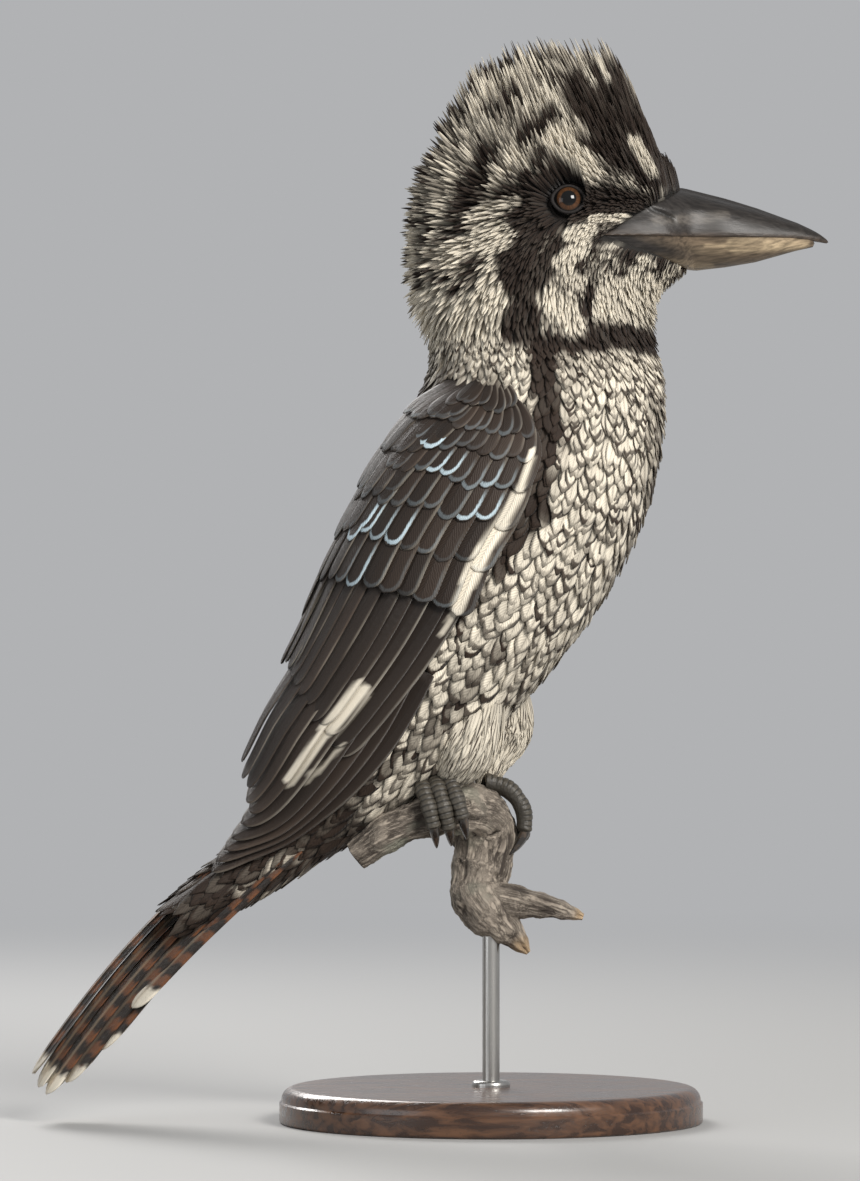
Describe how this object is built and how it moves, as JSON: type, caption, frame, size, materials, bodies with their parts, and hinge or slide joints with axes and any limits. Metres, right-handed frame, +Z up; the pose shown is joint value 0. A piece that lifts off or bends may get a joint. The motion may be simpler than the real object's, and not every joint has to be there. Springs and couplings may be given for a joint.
{
  "type": "laughing kookaburra model",
  "caption": "Life-size still model of a laughing kookaburra with raised crest, gripping a short gnarled branch that a rod holds over a round base.",
  "frame": {"origin": "centre of the flat underside of the round base, on the floor", "axes": "+Z up, +X the way the bird and its bill point, -Y the bird's right side, which the camera sees"},
  "size_m": [0.2718, 0.144, 0.3659],
  "materials": {
    "head_feathers": "feathers, dark brown streaked with cream, nearly black behind the eye",
    "neck_feathers": "feathers, cream with a dark band across the front",
    "body_feathers": "feathers, cream with fine dark brown scallops",
    "wing_feathers": "feathers, dark umber brown with pale blue and white tips on the coverts",
    "tail_feathers": "feathers, rufous brown with black bars and pale tips",
    "foot_skin": "scaly skin, olive grey",
    "dark_horn": "horn, near black, half gloss",
    "pale_horn": "horn, pale with a dark upper edge, half gloss",
    "eye": "glossy, dark brown",
    "bark": "weathered grey brown bark, rough",
    "rod_metal": "brushed",
    "base_wood": "dark stained wood, satin"
  },
  "bodies": {
    "root": {"head": "head_feathers", "neck": "neck_feathers", "torso": "body_feathers", "wing_right": "wing_feathers", "wing_left": "wing_feathers", "tail": "tail_feathers", "leg_right": "body_feathers", "leg_left": "body_feathers", "foot_right": "foot_skin", "foot_left": "foot_skin", "claw_right_1": "dark_horn", "claw_right_2": "dark_horn", "claw_right_3": "dark_horn", "claw_right_4": "dark_horn", "claw_left_1": "dark_horn", "claw_left_2": "dark_horn", "claw_left_3": "dark_horn", "claw_left_4": "dark_horn", "bill_upper": "dark_horn", "bill_lower": "pale_horn", "eye_right": "eye", "eye_left": "eye", "perch_branch": "bark", "stand_rod": "rod_metal", "stand_base": "base_wood"}
  },
  "joints": []
}
